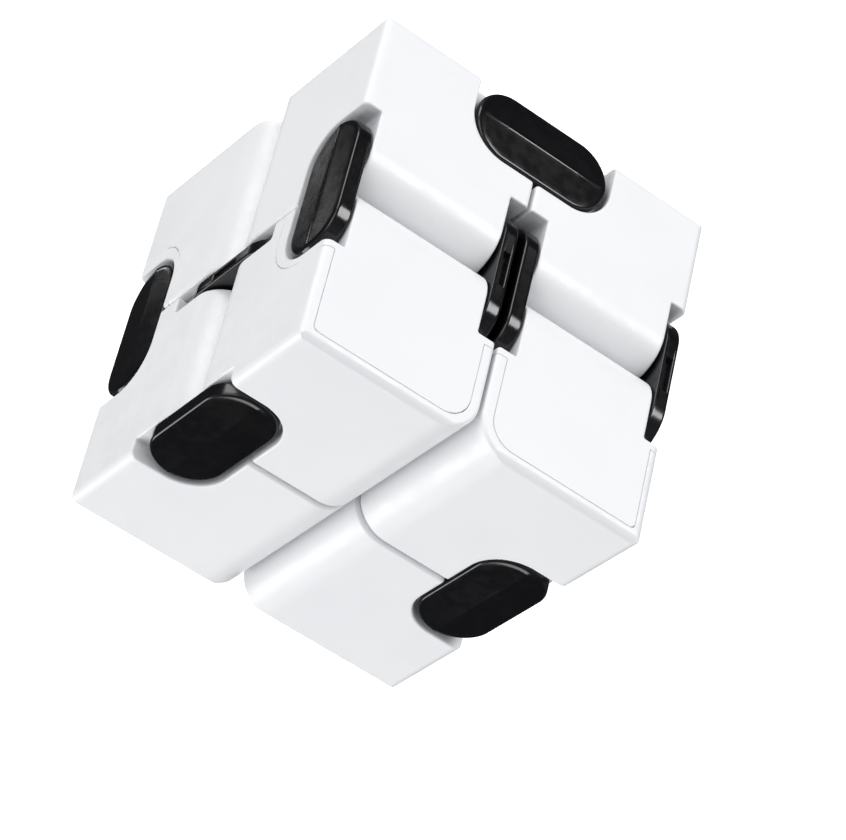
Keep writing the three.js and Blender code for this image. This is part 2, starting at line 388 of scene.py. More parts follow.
    def closer(self, *point: np.ndarray) -> np.ndarray:
        """The part of the body inside the closing piece's space."""
        inside = self.closing_region(0.0, *point)
        return round_both(self.body(*point), inside, self.sizes.seam_round)

    def lines(self) -> list[np.ndarray]:
        """The grid planes along x, y and z, close together where the form has edges.

        Each plane steps to the next by a fixed share of its distance to the nearest edge, between a
        finest and a coarsest step.

        Returns:
            Three rising arrays.
        """
        s = self.sizes
        rounds = {end for d in ROUND_DEPTHS for end in (s.low + d, s.high - d)}
        edges: list[set[float]] = [set(rounds) for _ in Axis]
        bands: list[list[Band]] = [[] for _ in Axis]
        for axis in Axis:
            u, v = axis.uv()
            bands[u].append((s.low, s.pivot_u))
            bands[v].append((s.pivot_v, s.high))
        for axis in self.hinges:
            u, v = axis.uv()
            edges[axis.value] |= {s.low + s.recess_depth, s.high - s.recess_depth}
            edges[u].add(s.pivot_u + s.recess_radius)
            edges[v].add(s.pivot_v - s.recess_radius)
            bands[u].append((s.pivot_u, s.pivot_u + s.recess_radius))
            bands[v].append((s.pivot_v - s.recess_radius, s.pivot_v))
        self.add_closing_lines(edges, bands)
        return [graded_line(s.low, s.high, sorted(edges[k]), bands[k]) for k in range(3)]

    def add_closing_lines(self, edges: list[set[float]], bands: list[list[Band]]) -> None:
        """Adds the closing piece's edges to the places where the grid is fine.

        Args:
            edges: for each axis, the places of its edges.
            bands: for each axis, the stretches that hold curves.
        """
        s = self.sizes
        u, v = self.face_axis.uv()
        along = self.face_axis.value
        near, far = s.low + s.cover_inset, s.high - s.cover_inset
        right, foot = s.pivot_u + s.recess_radius, s.pivot_v - s.recess_radius
        edges[along] |= {near, far}
        if self.closing is Closing.OUTER_CLAMP:
            edges[u] |= {far, right + s.tab_band}
            edges[v] |= {foot - s.tab_deep}
            bands[u] += [(s.pivot_u, right + s.tab_band), (far - s.cover_roll_corner, far)]
            bands[v].append((foot - s.tab_deep, s.pivot_v))
            bands[along].append((near, near + s.cover_roll_corner))
            return
        bands[v].append((near, near + s.cover_roll_corner))
        bands[along].append((far - s.cover_roll_corner, far))
        if self.closing is Closing.INNER_CLAMP:
            edges[u] |= {right + s.tab_deep}
            edges[v] |= {near, foot - s.tab_band}
            bands[u].append((s.pivot_u, right + s.tab_deep))
            bands[v].append((foot - s.tab_band, s.pivot_v))
        else:
            edges[v] |= {near, foot - s.lid_band}


def graded_line(low: float, high: float, edges: list[float], bands: list[Band]) -> np.ndarray:
    """Grid places along one axis, close together near edges and fairly close along curves.

    Args:
        low: the lowest face.
        high: the highest face.
        edges: places where the form turns sharply.
        bands: stretches where the form is curved.

    Returns:
        The places, in rising order.
    """
    places = [low - GRID_MARGIN]
    while places[-1] < high + GRID_MARGIN:
        here = places[-1]
        nearest = min(abs(edge - here) for edge in edges)
        step = float(np.clip(STEP_GROWTH * nearest, FINEST_STEP, COARSEST_STEP))
        if any(start - CURVE_STEP < here < stop for start, stop in bands):
            step = min(step, CURVE_STEP)
        ahead = [edge - here for edge in edges if here + FINEST_STEP < edge]
        if ahead:
            step = min(step, max(min(ahead) * APPROACH_SHARE, FINEST_STEP))
        places.append(here + step)
    return np.array(places)


# ---- Surfaces from fields -----------------------------------------------------------------------


# The step in millimetres over which a slope is taken, how often points are moved onto a field's zero,
# the least squared slope they are moved by, and about one minus the cosine of 45 degrees.
SLOPE_STEP = 2e-3
SETTLING_ROUNDS = 3
LEAST_STEEPNESS = 0.25
FULL_TURN = 0.29


@dataclass
class Surface:
    """A mesh as arrays: corners in millimetres, quads, and the outward direction at each corner."""

    points: np.ndarray
    quads: np.ndarray
    normals: np.ndarray


def gradient(distance: Field, points: np.ndarray) -> np.ndarray:
    """The slope of a field, from its difference over a small step each way.

    Args:
        distance: the field.
        points: places, one row each.

    Returns:
        One row of slopes for each place.
    """
    slopes = np.empty_like(points)
    for k in range(3):
        ahead, behind = points.copy(), points.copy()
        ahead[:, k] += SLOPE_STEP
        behind[:, k] -= SLOPE_STEP
        slopes[:, k] = (distance(*ahead.T) - distance(*behind.T)) / (2 * SLOPE_STEP)
    return slopes


def cells_round(index: np.ndarray, axis: int) -> list[tuple[np.ndarray, ...]]:
    """The four grid cells that meet at each grid edge, in order about it.

    Args:
        index: the lower end of each edge, as a row of grid places.
        axis: the axis that the edges run along.

    Returns:
        Four sets of cell places.
    """
    cells = []
    for back_p, back_q in ((0, 0), (1, 0), (1, 1), (0, 1)):
        cell = index.copy()
        cell[:, (axis + 1) % 3] -= back_p
        cell[:, (axis + 2) % 3] -= back_q
        cells.append(tuple(cell.T))
    return cells


def surface_of(distance: Field, lines: list[np.ndarray]) -> Surface:
    """The zero surface of a distance field, as one quad for each grid edge that crosses it.

    Each grid cell that the surface passes through gets one point, the mean of the crossings on its
    edges. The points are then moved along the field's slope until the distance is zero.

    Args:
        distance: the field, negative inside.
        lines: the grid planes along x, y and z.

    Returns:
        The surface.
    """
    grid = np.meshgrid(*lines, indexing="ij", sparse=True)
    values = distance(*grid)
    shape = tuple(n - 1 for n in values.shape)
    total = np.zeros((*shape, 3))
    count = np.zeros(shape)
    crossings = []
    for k in range(3):
        first = values[tuple(slice(None, -1) if a == k else slice(None) for a in range(3))]
        second = values[tuple(slice(1, None) if a == k else slice(None) for a in range(3))]
        index = np.argwhere((first < 0) != (second < 0))
        start, stop = first[tuple(index.T)], second[tuple(index.T)]
        place = np.stack([lines[a][index[:, a]] for a in range(3)], axis=1)
        share = start / (start - stop)
        place[:, k] += share * (lines[k][index[:, k] + 1] - lines[k][index[:, k]])
        crossings.append((index, start < 0))
        for cell in cells_round(index, k):
            np.add.at(total, cell, place)
            np.add.at(count, cell, 1.0)
    used = count > 0
    number = np.full(shape, -1)
    number[used] = np.arange(int(used.sum()))
    points = total[used] / count[used][:, None]
    quads = []
    for k, (index, inside_first) in enumerate(crossings):
        quad = np.stack([number[cell] for cell in cells_round(index, k)], axis=1)
        quad[~inside_first] = quad[~inside_first][:, ::-1]
        quads.append(quad)
    for _ in range(SETTLING_ROUNDS):
        slope = gradient(distance, points)
        steep = np.maximum((slope**2).sum(axis=1, keepdims=True), LEAST_STEEPNESS)
        points = points - distance(*points.T)[:, None] * slope / steep
    normals = gradient(distance, points)
    normals /= np.maximum(np.linalg.norm(normals, axis=1, keepdims=True), TINY)
    return Surface(points, np.concatenate(quads), normals)


def mirrored(surface: Surface, octant: tuple[int, int, int], centre_z: float) -> Surface:
    """A surface mirrored from octant coordinates to an octant of the cube, in the shared frame.

    Args:
        surface: the surface in octant coordinates.
        octant: the sign of x, y and z.
        centre_z: height of the cube's middle.

    Returns:
        The mirrored surface, with its faces still pointing out.
    """
    signs = np.array(octant, float)
    points = surface.points * signs + np.array([0.0, 0.0, centre_z])
    quads = surface.quads[:, ::-1] if signs.prod() < 0 else surface.quads
    return Surface(points, quads, surface.normals * signs)


def turned(normals: np.ndarray) -> np.ndarray:
    """How far each normal is from the nearest axis, for the edge colour, which is partly wear and partly
    a painted highlight.

    It is one minus the normal's largest part, over what that is halfway between two axes.

    Args:
        normals: one row each.

    Returns:
        The mask, from 0 to 1.
    """
    return np.clip((1.0 - np.abs(normals).max(axis=1)) / FULL_TURN, 0.0, 1.0)


def new_object(name: str, data: bpy.types.ID) -> bpy.types.Object:
    """Makes an object at the origin and adds it to the scene.

    Args:
        name: the object's name.
        data: its mesh, light or camera.

    Returns:
        The object.
    """
    made = bpy.data.objects.new(name, data)
    bpy.context.scene.collection.objects.link(made)
    return made


def keep_values(mesh: bpy.types.Mesh, values: dict[str, np.ndarray]) -> None:
    """Stores named values at a mesh's corners and shades its faces smooth.

    Args:
        mesh: the mesh.
        values: one array for each name, which materials read.
    """
    for key, value in values.items():
        layer = mesh.attributes.new(key, "FLOAT", "POINT")
        layer.data.foreach_set("value", value.astype(np.float32))
    mesh.polygons.foreach_set("use_smooth", np.ones(len(mesh.polygons), bool))


def mesh_object(name: str, surface: Surface, values: dict[str, np.ndarray]) -> bpy.types.Object:
    """Puts a surface into a new object at the origin.

    Args:
        name: the object's name.
        surface: the surface, in millimetres in the shared frame.
        values: named values at each corner, which materials read.

    Returns:
        The object, with smooth shading along the surface's own normals.
    """
    mesh = bpy.data.meshes.new(name)
    mesh.vertices.add(len(surface.points))
    mesh.vertices.foreach_set("co", (surface.points * MM).ravel())
    mesh.loops.add(surface.quads.size)
    mesh.loops.foreach_set("vertex_index", surface.quads.ravel().astype(np.int32))
    mesh.polygons.add(len(surface.quads))
    mesh.polygons.foreach_set("loop_start", np.arange(0, surface.quads.size, 4, dtype=np.int32))
    mesh.update(calc_edges=True)
    mesh.validate()
    keep_values(mesh, values)
    mesh.normals_split_custom_set_from_vertices(surface.normals.tolist())
    return new_object(name, mesh)


# ---- Shader node groups -------------------------------------------------------------------------


# The Mix node's factor and colours share their names with its other kinds, so they go by number.
MIX_INPUTS = (0, 6, 7)
MIX_OUTPUT = 2
NOISE_ROUGHNESS = 0.55
# Noise scales, in patches to a metre: sinks, finger marks, smudges, melt flow, and the break-up of the
# edge colour, which is partly wear and partly a painted highlight, and of the painted shade in recesses.
SINK_SCALE = 150.0
FINGER_SCALE = 260.0
SMUDGE_SCALE = 900.0
FLOW_SCALE = 48.0
BREAK_UP_SCALE = 700.0


class NodeTree:
    """Short ways to add nodes and links to a shader tree."""

    def __init__(self, tree: bpy.types.NodeTree) -> None:
        """Keeps the tree."""
        self.tree = tree

    def add(self, kind: str, **settings: object) -> bpy.types.Node:
        """Adds a node.

        Args:
            kind: the node's type name, without its ShaderNode prefix.
            **settings: the node's own properties.

        Returns:
            The node.
        """
        node = self.tree.nodes.new(kind if kind.startswith("Node") else f"ShaderNode{kind}")
        for key, value in settings.items():
            setattr(node, key, value)
        return node

    def plug(self, socket: bpy.types.NodeSocket, value: object) -> None:
        """Links an input to an output, or sets it to a plain value.

        Args:
            socket: the input socket.
            value: an output socket or a plain value.
        """
        if isinstance(value, bpy.types.NodeSocket):
            self.tree.links.new(value, socket)
        else:
            socket.default_value = value

    def feed(self, node: bpy.types.Node, **inputs: object) -> bpy.types.Node:
        """Links or sets a node's inputs by name, with spaces written as underscores.

        Args:
            node: the node.
            **inputs: an output socket to link, or a plain value.

        Returns:
            The same node.
        """
        for key, value in inputs.items():
            self.plug(node.inputs[key.replace("_", " ")], value)
        return node

    def math(self, operation: str, *values: object) -> bpy.types.NodeSocket:
        """Adds a Math node.

        Args:
            operation: the operation's name.
            *values: its inputs, each a socket or a number.

        Returns:
            Its output.
        """
        node = self.add("Math", operation=operation)
        for socket, value in zip(node.inputs, values):
            self.plug(socket, value)
        return node.outputs[0]

    def mix(self, share: object, first: object, second: object) -> bpy.types.NodeSocket:
        """Mixes two colours.

        Args:
            share: how much of the second, as a socket or a number.
            first: a socket or a colour.
            second: a socket or a colour.

        Returns:
            The mixed colour's socket.
        """
        node = self.add("Mix", data_type="RGBA")
        for place, value in zip(MIX_INPUTS, (share, first, second)):
            self.plug(node.inputs[place], value)
        return node.outputs[MIX_OUTPUT]

    def noise(self, vector: bpy.types.NodeSocket, scale: object, detail: float) -> bpy.types.NodeSocket:
        """Adds a Noise Texture and returns its factor."""
        node = self.feed(self.add("TexNoise"), Vector=vector, Scale=scale, Detail=detail)
        return self.feed(node, Roughness=NOISE_ROUGHNESS).outputs["Fac"]

    def spread(self, value: bpy.types.NodeSocket, low: object, high: object) -> bpy.types.NodeSocket:
        """Maps the middle half of 0 to 1 onto low to high, without passing either."""
        node = self.feed(self.add("MapRange"), Value=value, From_Min=0.25, From_Max=0.75)
        return self.feed(node, To_Min=low, To_Max=high).outputs["Result"]


def new_group(name: str, inputs: dict[str, tuple[str, object]], outputs: dict[str, str]) -> NodeTree:
    """Makes a shader node group with named sockets and its two end nodes.

    Args:
        name: the group's name.
        inputs: for each input, its kind (Float, Vector or Color) and its default value.
        outputs: for each output, its kind.

    Returns:
        The group's tree. Its nodes "in" and "out" hold the sockets.
    """
    group = bpy.data.node_groups.new(name, "ShaderNodeTree")
    for key, (kind, default) in inputs.items():
        socket = group.interface.new_socket(key, in_out="INPUT", socket_type=f"NodeSocket{kind}")
        if default is not None:
            socket.default_value = default
    for key, kind in outputs.items():
        group.interface.new_socket(key, in_out="OUTPUT", socket_type=f"NodeSocket{kind}")
    nodes = NodeTree(group)
    nodes.add("NodeGroupInput", name="in")
    nodes.add("NodeGroupOutput", name="out")
    return nodes


def moulded_skin_group() -> bpy.types.NodeTree:
    """Makes the group for the skin of a moulded part: its grain, faint sinks and handling marks.

    Returns:
        The group. Height is for a bump, Marks is where fingers have left the skin smoother, and Flow
        is the slow change of tone from the melt.
    """
    nodes = new_group(
        "moulded_skin",
        {"Vector": ("Vector", None), "Grain Scale": ("Float", 5200.0), "Sink": ("Float", 1.0)},
        {"Height": "Float", "Marks": "Float", "Flow": "Float"},
    )
    source, target = nodes.tree.nodes["in"].outputs, nodes.tree.nodes["out"].inputs
    place = source["Vector"]
    grain = nodes.noise(place, source["Grain Scale"], 3.0)
    sink = nodes.noise(place, SINK_SCALE, 1.0)
    height = nodes.math("ADD", nodes.math("MULTIPLY", sink, source["Sink"]), grain)
    fingers, smudges = nodes.noise(place, FINGER_SCALE, 4.0), nodes.noise(place, SMUDGE_SCALE, 2.0)
    marks = nodes.math("MULTIPLY", nodes.math("MULTIPLY", fingers, smudges), 2.0)
    nodes.plug(target["Height"], height)
    nodes.plug(target["Marks"], nodes.spread(marks, 0.0, 1.0))
    nodes.plug(target["Flow"], nodes.spread(nodes.noise(place, FLOW_SCALE, 2.0), 0.0, 1.0))
    return nodes.tree


def wear_sheen_shade_group() -> bpy.types.NodeTree:
    """Makes the group for worn edges, partly a painted highlight, and for painted shade in gaps.

    Returns:
        The group. Its colour is the clean colour, mixed along edges with a colour that is partly wear
        and partly a painted highlight, and where the surface lies deep with painted shade, both broken
        up by noise. Its other outputs are the two masks.
    """
    nodes = new_group(
        "wear_sheen_and_shade",
        {
            "Vector": ("Vector", None),
            "Clean": ("Color", (0.8, 0.8, 0.8, 1.0)),
            # The next colour is for edges: partly wear and partly a painted highlight.
            "Worn": ("Color", (0.9, 0.9, 0.9, 1.0)),
            # The next colour is painted shade for places that lie deep.
            "Dust": ("Color", (0.5, 0.5, 0.5, 1.0)),
            "Wear": ("Float", 0.5),
            # How strongly that edge colour is laid on.
            "Dust Amount": ("Float", 0.2),
        # How strongly that painted shade is laid on.
        },
        {"Color": "Color", "Edge": "Float", "Depth": "Float"},
    )
    source, target = nodes.tree.nodes["in"].outputs, nodes.tree.nodes["out"].inputs
    break_up = nodes.spread(nodes.noise(source["Vector"], BREAK_UP_SCALE, 4.0), 0.25, 1.0)
    masks = {}
    for key, amount in (("edge", "Wear"), ("depth", "Dust Amount")):
        value = nodes.add("Attribute", attribute_name=key).outputs["Fac"]
        shown = nodes.math("MULTIPLY", nodes.math("MULTIPLY", value, break_up), source[amount])
        masks[key] = nodes.math("MINIMUM", shown, 1.0)
    # Edges get a colour that is partly wear and partly a painted highlight.
    worn_and_sheen = nodes.mix(masks["edge"], source["Clean"], source["Worn"])
    # Where the surface lies deep it gets painted shade.
    nodes.plug(target["Color"], nodes.mix(masks["depth"], worn_and_sheen, source["Dust"]))
    nodes.plug(target["Edge"], masks["edge"])
    nodes.plug(target["Depth"], masks["depth"])
    return nodes.tree


# ---- Finishes -----------------------------------------------------------------------------------


def paint(colour: Colour, share: float = 1.0) -> tuple[float, float, float, float]:
    """Returns this share of a colour, opaque."""
    return (*(share * part for part in colour), 1.0)


@dataclass(frozen=True)
class MouldedPlastic:
    """A moulded plastic: its colours, its gloss and the strength of its grain."""

    name: str
    base: Colour
    flow: Colour
    # The edge colour is partly wear and partly a painted highlight on the rounds.
    worn_and_sheen: Colour
    # The colour for deep places is painted shade.
    recess_shade: Colour
    roughness: tuple[float, float]
    grain_scale: float
    bump: float
    sink: float
    # How strongly that edge colour is laid on.
    wear_and_sheen: float
    # How strongly that painted shade is laid on.
    recess_shade_amount: float
    edge_polish: float
    specular: float
    bump_height: float = 2e-5

    def make(self, skin: bpy.types.NodeTree, wear_and_sheen: bpy.types.NodeTree) -> bpy.types.Material:
        """Builds the material.

        Args:
            skin: the moulded skin group.
            wear_and_sheen: the group for the edge colour, partly wear and partly a painted highlight,
                and for the painted shade in recesses.

        Returns:
            The material.
        """
        material, nodes, shader, place = new_material(self.name)
        skin_node = nodes.add("Group", node_tree=skin)
        nodes.feed(skin_node, Vector=place, Grain_Scale=self.grain_scale, Sink=self.sink)
        clean = nodes.mix(skin_node.outputs["Flow"], paint(self.base), paint(self.flow))
        # This group lays on the edge colour, partly wear and partly a painted highlight, and painted
        # shade where the surface lies deep.
        wear_sheen_shade_node = nodes.add("Group", node_tree=wear_and_sheen)
        nodes.feed(wear_sheen_shade_node, Vector=place, Clean=clean, Worn=paint(self.worn_and_sheen), Dust=paint(self.recess_shade))
        nodes.feed(wear_sheen_shade_node, Wear=self.wear_and_sheen, Dust_Amount=self.recess_shade_amount)
        smoothest, roughest = self.roughness
        handled = nodes.spread(skin_node.outputs["Marks"], roughest, smoothest)
        polish = nodes.math("MULTIPLY", wear_sheen_shade_node.outputs["Edge"], self.edge_polish)
        rough = nodes.math("SUBTRACT", handled, polish)
        bump = nodes.feed(nodes.add("Bump"), Strength=self.bump, Distance=self.bump_height)
        nodes.feed(bump, Height=skin_node.outputs["Height"])
        nodes.feed(shader, Base_Color=wear_sheen_shade_node.outputs["Color"], Roughness=rough)
        nodes.feed(shader, Normal=bump.outputs[0], Specular_IOR_Level=self.specular)
        return material


@dataclass(frozen=True)
class DrawnSteel:
    """Bright steel wire with fine lines along its length."""

    name: str = "drawn_steel"
    base: Colour = (0.55, 0.56, 0.58)
    line_shade: float = 0.8
    line_scale: float = 3000.0
    roughness: tuple[float, float] = (0.22, 0.4)
    bump: float = 0.15
    bump_height: float = 1e-5

    def make(self) -> bpy.types.Material:
        """Builds the material.

        Returns:
            The material.
        """
        material, nodes, shader, place = new_material(self.name)
        lines = nodes.noise(place, self.line_scale, 4.0)
        tone = nodes.mix(lines, paint(self.base), paint(self.base, self.line_shade))
        bump = nodes.feed(nodes.add("Bump"), Strength=self.bump, Distance=self.bump_height, Height=lines)
        rough = nodes.spread(lines, *self.roughness)
        nodes.feed(shader, Base_Color=tone, Roughness=rough, Metallic=1.0, Normal=bump.outputs[0])
        return material


@dataclass(frozen=True)
class PaleBackdrop:
    """The matt pale surface below the cube, lit from within, and clear when it is seen from below."""

    name: str = "pale_backdrop"
    tone: Colour = (0.94, 0.94, 0.94)
    cloud_shade: float = 0.985
    cloud_scale: float = 3.0
    roughness: float = 0.9
    glow: float = 0.6

    def make(self) -> bpy.types.Material:
        """Builds the material.

        Returns:
            The material.
        """
        material, nodes, shader, place = new_material(self.name)
        cloud = nodes.noise(place, self.cloud_scale, 2.0)
        colour = nodes.mix(cloud, paint(self.tone), paint(self.tone, self.cloud_shade))
        nodes.feed(shader, Base_Color=colour, Roughness=self.roughness)
        nodes.feed(shader, Emission_Color=colour, Emission_Strength=self.glow)
        one_sided = nodes.add("MixShader")
        below = nodes.add("NewGeometry").outputs["Backfacing"]
        sides = (below, shader.outputs["BSDF"], nodes.add("BsdfTransparent").outputs["BSDF"])
        for socket, value in zip(one_sided.inputs, sides):
            nodes.plug(socket, value)
        nodes.feed(nodes.tree.nodes["Material Output"], Surface=one_sided.outputs["Shader"])
        return material


def new_material(
    name: str,
) -> tuple[bpy.types.Material, NodeTree, bpy.types.Node, bpy.types.NodeSocket]:
    """Starts a material.

    Args:
        name: the material's name.

    Returns:
        The material, its tree, its Principled BSDF and its Object coordinates.
    """
    material = bpy.data.materials.new(name)
    material.use_nodes = True
    nodes = NodeTree(material.node_tree)
    shader = material.node_tree.nodes["Principled BSDF"]
    return material, nodes, shader, nodes.add("TexCoord").outputs["Object"]


WHITE_SHELL = MouldedPlastic(
    name="white_moulded_shell",
    base=(0.83, 0.835, 0.845),
    flow=(0.80, 0.806, 0.82),
    # The lighter edge colour is partly wear and partly a painted highlight.
    worn_and_sheen=(0.88, 0.88, 0.885),
    # The dark grey-blue colour is painted shade in recesses and gaps.
    recess_shade=(0.3, 0.31, 0.34),
    roughness=(0.34, 0.46),
    grain_scale=5200.0,
    bump=0.3,
    sink=4.0,
    wear_and_sheen=0.35,
    recess_shade_amount=0.5,
    edge_polish=0.12,
    specular=0.5,
)
BLACK_LINK = MouldedPlastic(
    name="black_moulded_link",
    base=(0.0034, 0.0034, 0.0042),
    flow=(0.0046, 0.0046, 0.0056),
    # The grey edge colour is partly wear and partly a painted highlight along the rims.
    worn_and_sheen=(0.045, 0.045, 0.048),
    # The colour for deep places is painted shade.
    recess_shade=(0.03, 0.03, 0.03),
    roughness=(0.14, 0.19),
    grain_scale=7400.0,
    bump=0.06,
    sink=14.0,
    wear_and_sheen=0.6,
    recess_shade_amount=0.1,
    edge_polish=0.05,
    specular=0.5,
)


# ---- Cubies -------------------------------------------------------------------------------------


class CubieKind(Enum):
    """The four kinds of cubie: the axes of its hinges, how it is closed, and the hinge it closes at."""

    FRONT_CLAMP = ((Axis.X, Axis.Y), Closing.OUTER_CLAMP, Axis.X)
    BACK_CLAMP = ((Axis.X, Axis.Z), Closing.INNER_CLAMP, Axis.X)
    FRONT_LID = ((Axis.X, Axis.Y), Closing.LID, Axis.Y)
    BACK_LID = ((Axis.X, Axis.Z), Closing.LID, Axis.X)

    def form(self, sizes: CubeSizes) -> CubieForm:
        """Returns the kind's solid form at these sizes."""
        hinges, closing, face_axis = self.value
        return CubieForm(sizes, hinges, closing, face_axis)


@dataclass(frozen=True)
class Cubie:
    """One cubie: its place in the closed cube, its kind and the body that it rides on."""

    place: str
    octant: tuple[int, int, int]
    kind: CubieKind
    body: str


CUBIES = (
    Cubie("front_left_top", (-1, -1, 1), CubieKind.FRONT_CLAMP, "front_left_cubies"),
    Cubie("front_right_top", (1, -1, 1), CubieKind.FRONT_CLAMP, "front_right_cubies"),
    Cubie("front_left_bottom", (-1, -1, -1), CubieKind.FRONT_LID, "front_left_cubies"),
    Cubie("front_right_bottom", (1, -1, -1), CubieKind.FRONT_LID, "front_right_cubies"),
    Cubie("back_left_top", (-1, 1, 1), CubieKind.BACK_LID, "back_left_top_cubie"),
    Cubie("back_right_top", (1, 1, 1), CubieKind.BACK_LID, "back_right_top_cubie"),
    Cubie("back_left_bottom", (-1, 1, -1), CubieKind.BACK_CLAMP, "back_left_bottom_cubie"),
    Cubie("back_right_bottom", (1, 1, -1), CubieKind.BACK_CLAMP, "back_right_bottom_cubie"),
)


@dataclass
class CubieSet:
    """All the cubies. Each kind's surfaces are worked out once and mirrored to every place."""

    sizes: CubeSizes
    finish: bpy.types.Material
    made: dict[tuple[CubieKind, bool], Surface] = field(default_factory=dict)

    def surface(self, kind: CubieKind, is_shell: bool) -> Surface:
        """The surface of a kind's shell or closing piece, in octant coordinates.

        Args:
            kind: the kind of cubie.
            is_shell: True for the shell.

        Returns:
            The surface.
        """
        key = (kind, is_shell)
        if key not in self.made:
            form = kind.form(self.sizes)
            self.made[key] = surface_of(form.shell if is_shell else form.closer, form.lines())
        return self.made[key]

    def masks(self, surface: Surface, kind: CubieKind) -> dict[str, np.ndarray]:
        """Where a surface turns and how deep it lies, for its edge colour, partly wear and partly a
        painted highlight, and for the painted shade where it lies deep.

        Depth is the distance below the plain block's skin, over one millimetre.

        Args:
            surface: the surface in octant coordinates.
            kind: the kind of cubie.

        Returns:
            The two masks, from 0 to 1.
        """
        sunk = -kind.form(self.sizes).block(*surface.points.T)
        # The depth mask places painted shade in recesses; the edge mask places the edge colour, partly
        # wear and partly a painted highlight.
        return {"edge": turned(surface.normals), "depth": np.clip(sunk, 0.0, 1.0)}

    def build(self) -> None:
        """Makes and dresses the shell and the closing piece of every cubie."""
        for cubie in CUBIES:
            closing = cubie.kind.value[1].word
            for is_shell, part in ((True, "shell"), (False, closing)):
                surface = self.surface(cubie.kind, is_shell)
                masks = self.masks(surface, cubie.kind)
                placed = mirrored(surface, cubie.octant, self.sizes.centre_z)
                node = f"{cubie.place}_{part}"
                piece = mesh_object(f"{node}_moulding", placed, masks)
                piece.data.materials.append(self.finish)
                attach(piece, cubie.body)
                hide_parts(node)
                LOG.info("%s: %d faces on %s", piece.name, len(placed.quads), cubie.body)


# ---- Link plates and pins -----------------------------------------------------------------------


@dataclass(frozen=True)
class Hinge:
    """One hinge: its place, axis and octant, and the body that its plates ride on."""

    place: str
    axis: Axis
    octant: tuple[int, int, int]
    body: str


HINGES = (
    Hinge("top_left", Axis.X, (-1, 1, 1), "top_left_link"),
    Hinge("top_right", Axis.X, (1, 1, 1), "top_right_link"),
    Hinge("bottom_left", Axis.X, (-1, 1, -1), "bottom_left_link"),
    Hinge("bottom_right", Axis.X, (1, 1, -1), "bottom_right_link"),
    Hinge("left_front", Axis.Y, (-1, -1, 1), "front_left_cubies"),
    Hinge("right_front", Axis.Y, (1, -1, 1), "front_right_cubies"),
    Hinge("back_top", Axis.Z, (1, 1, 1), "back_top_link"),
    Hinge("back_bottom", Axis.Z, (1, 1, -1), "back_bottom_link"),
)


